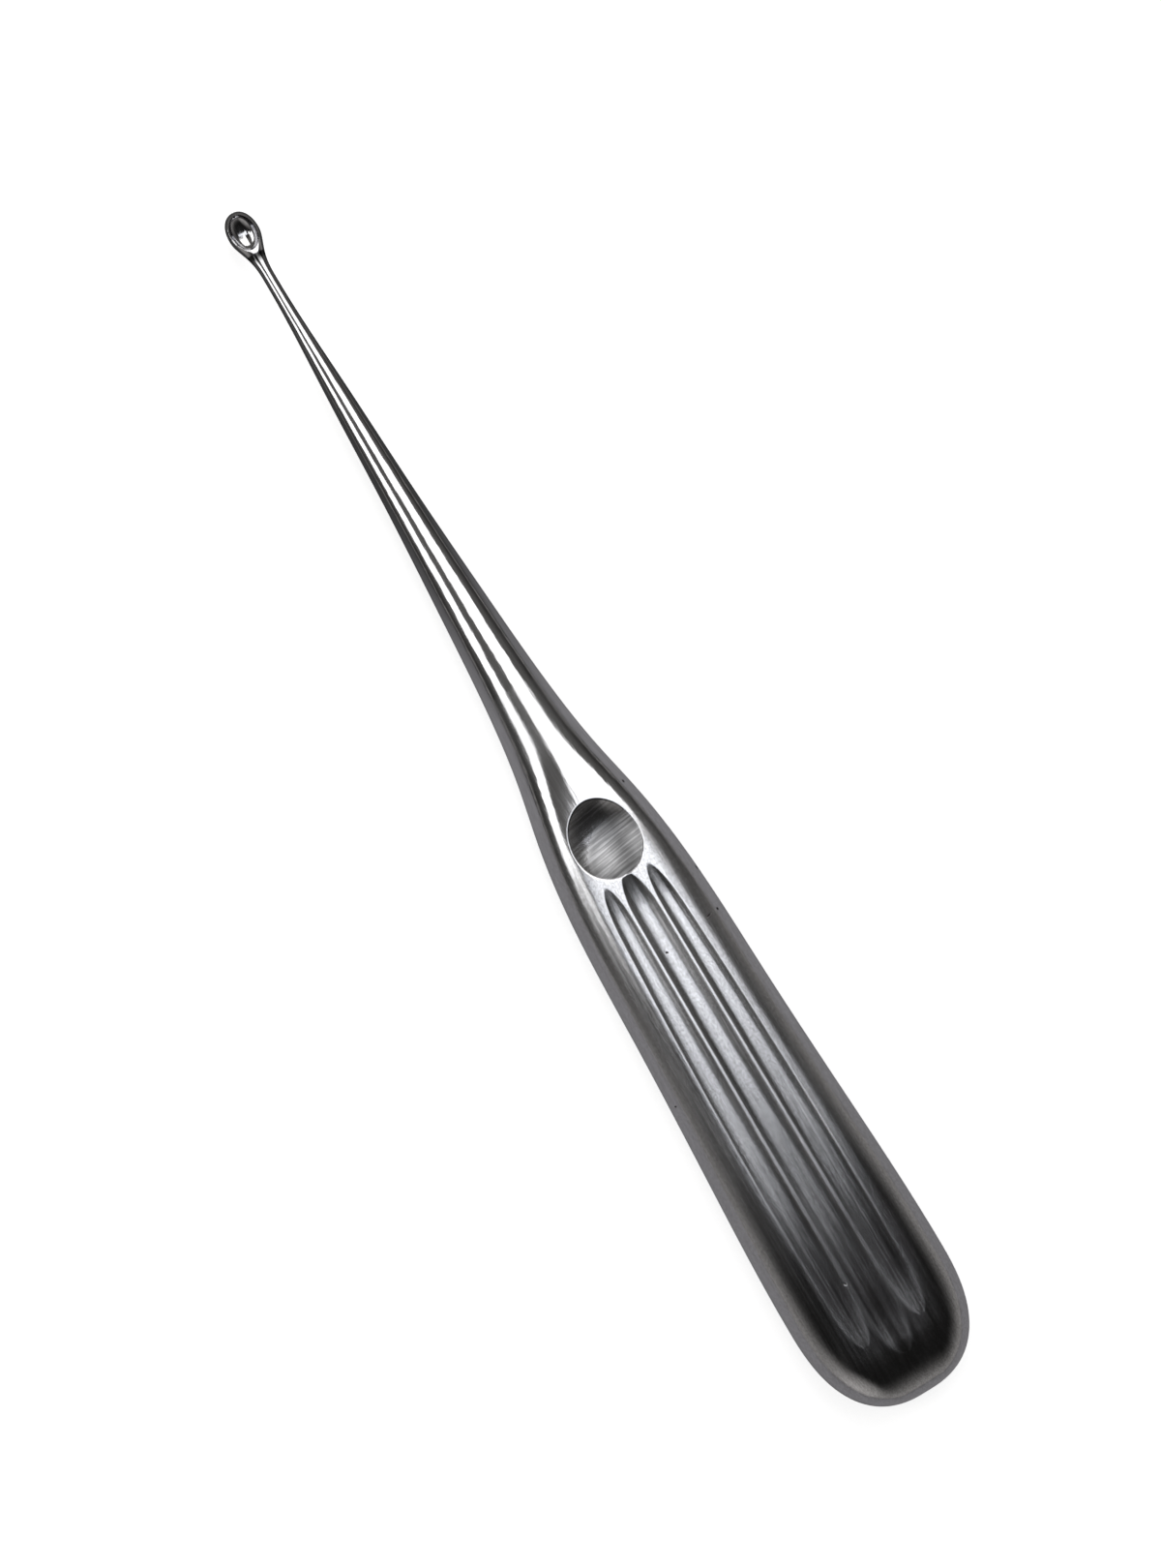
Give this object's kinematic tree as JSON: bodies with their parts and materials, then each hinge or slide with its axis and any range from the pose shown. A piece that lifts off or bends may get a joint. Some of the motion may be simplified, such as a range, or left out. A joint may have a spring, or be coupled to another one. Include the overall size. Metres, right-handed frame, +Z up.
{
  "type": "bone curette",
  "caption": "Steel bone curette with a broad oval fluted handle, a ground thumb rest, a long tapering round shaft and a small oval cup with a sharp rim.",
  "frame": {"origin": "on the table under the middle of the instrument's length, with the back of the handle resting on the table", "axes": "+X along the instrument towards the cup, +Y across it, +Z up, the side that the cup and the thumb rest face"},
  "size_m": [0.2286, 0.0296, 0.013],
  "materials": {
    "steel": "stainless steel: bright polish on the shaft and the cup, fine satin grinding along the handle, grinding marks across the thumb rest"
  },
  "bodies": {
    "root": {"bone_curette": "steel"}
  },
  "joints": []
}
